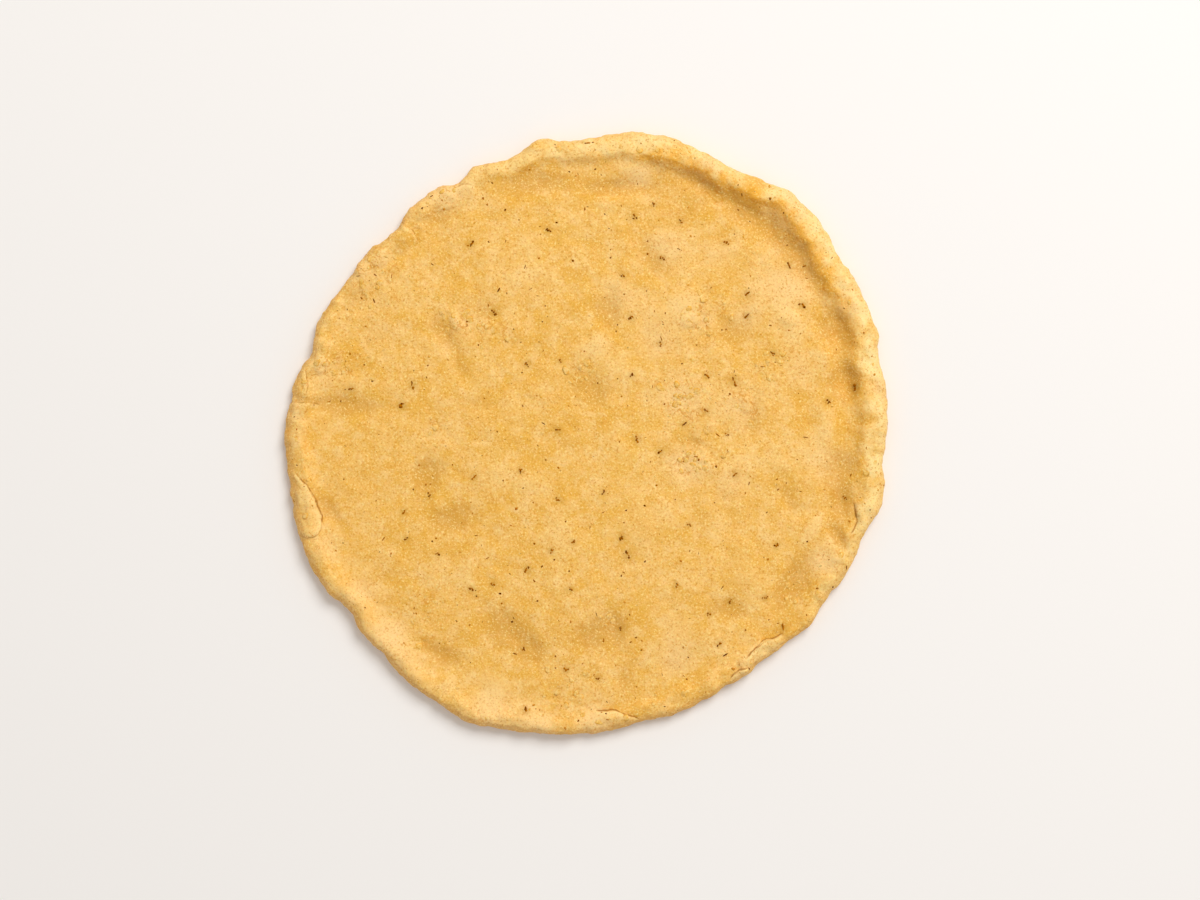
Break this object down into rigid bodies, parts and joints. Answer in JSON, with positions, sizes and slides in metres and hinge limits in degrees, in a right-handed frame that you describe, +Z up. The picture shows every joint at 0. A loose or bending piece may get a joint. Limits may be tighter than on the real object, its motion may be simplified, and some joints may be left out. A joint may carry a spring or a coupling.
{
  "type": "almond flour pizza crust",
  "caption": "Round hand-pressed pizza crust of raw almond flour dough with herb flakes, an uneven pinched rim and a flat underside, ready to bake or to hold toppings.",
  "frame": {"origin": "centre of the crust's flat underside, in the middle of its width and depth", "axes": "+Z up through the crust's thickness, +X towards the right of the picture and +Y towards its top"},
  "size_m": [0.261, 0.2608, 0.0119],
  "materials": {
    "dough": "raw almond dough, matte and slightly oily, grainy, with dark dried herb flakes"
  },
  "bodies": {
    "root": {"crust": "dough"}
  },
  "joints": []
}
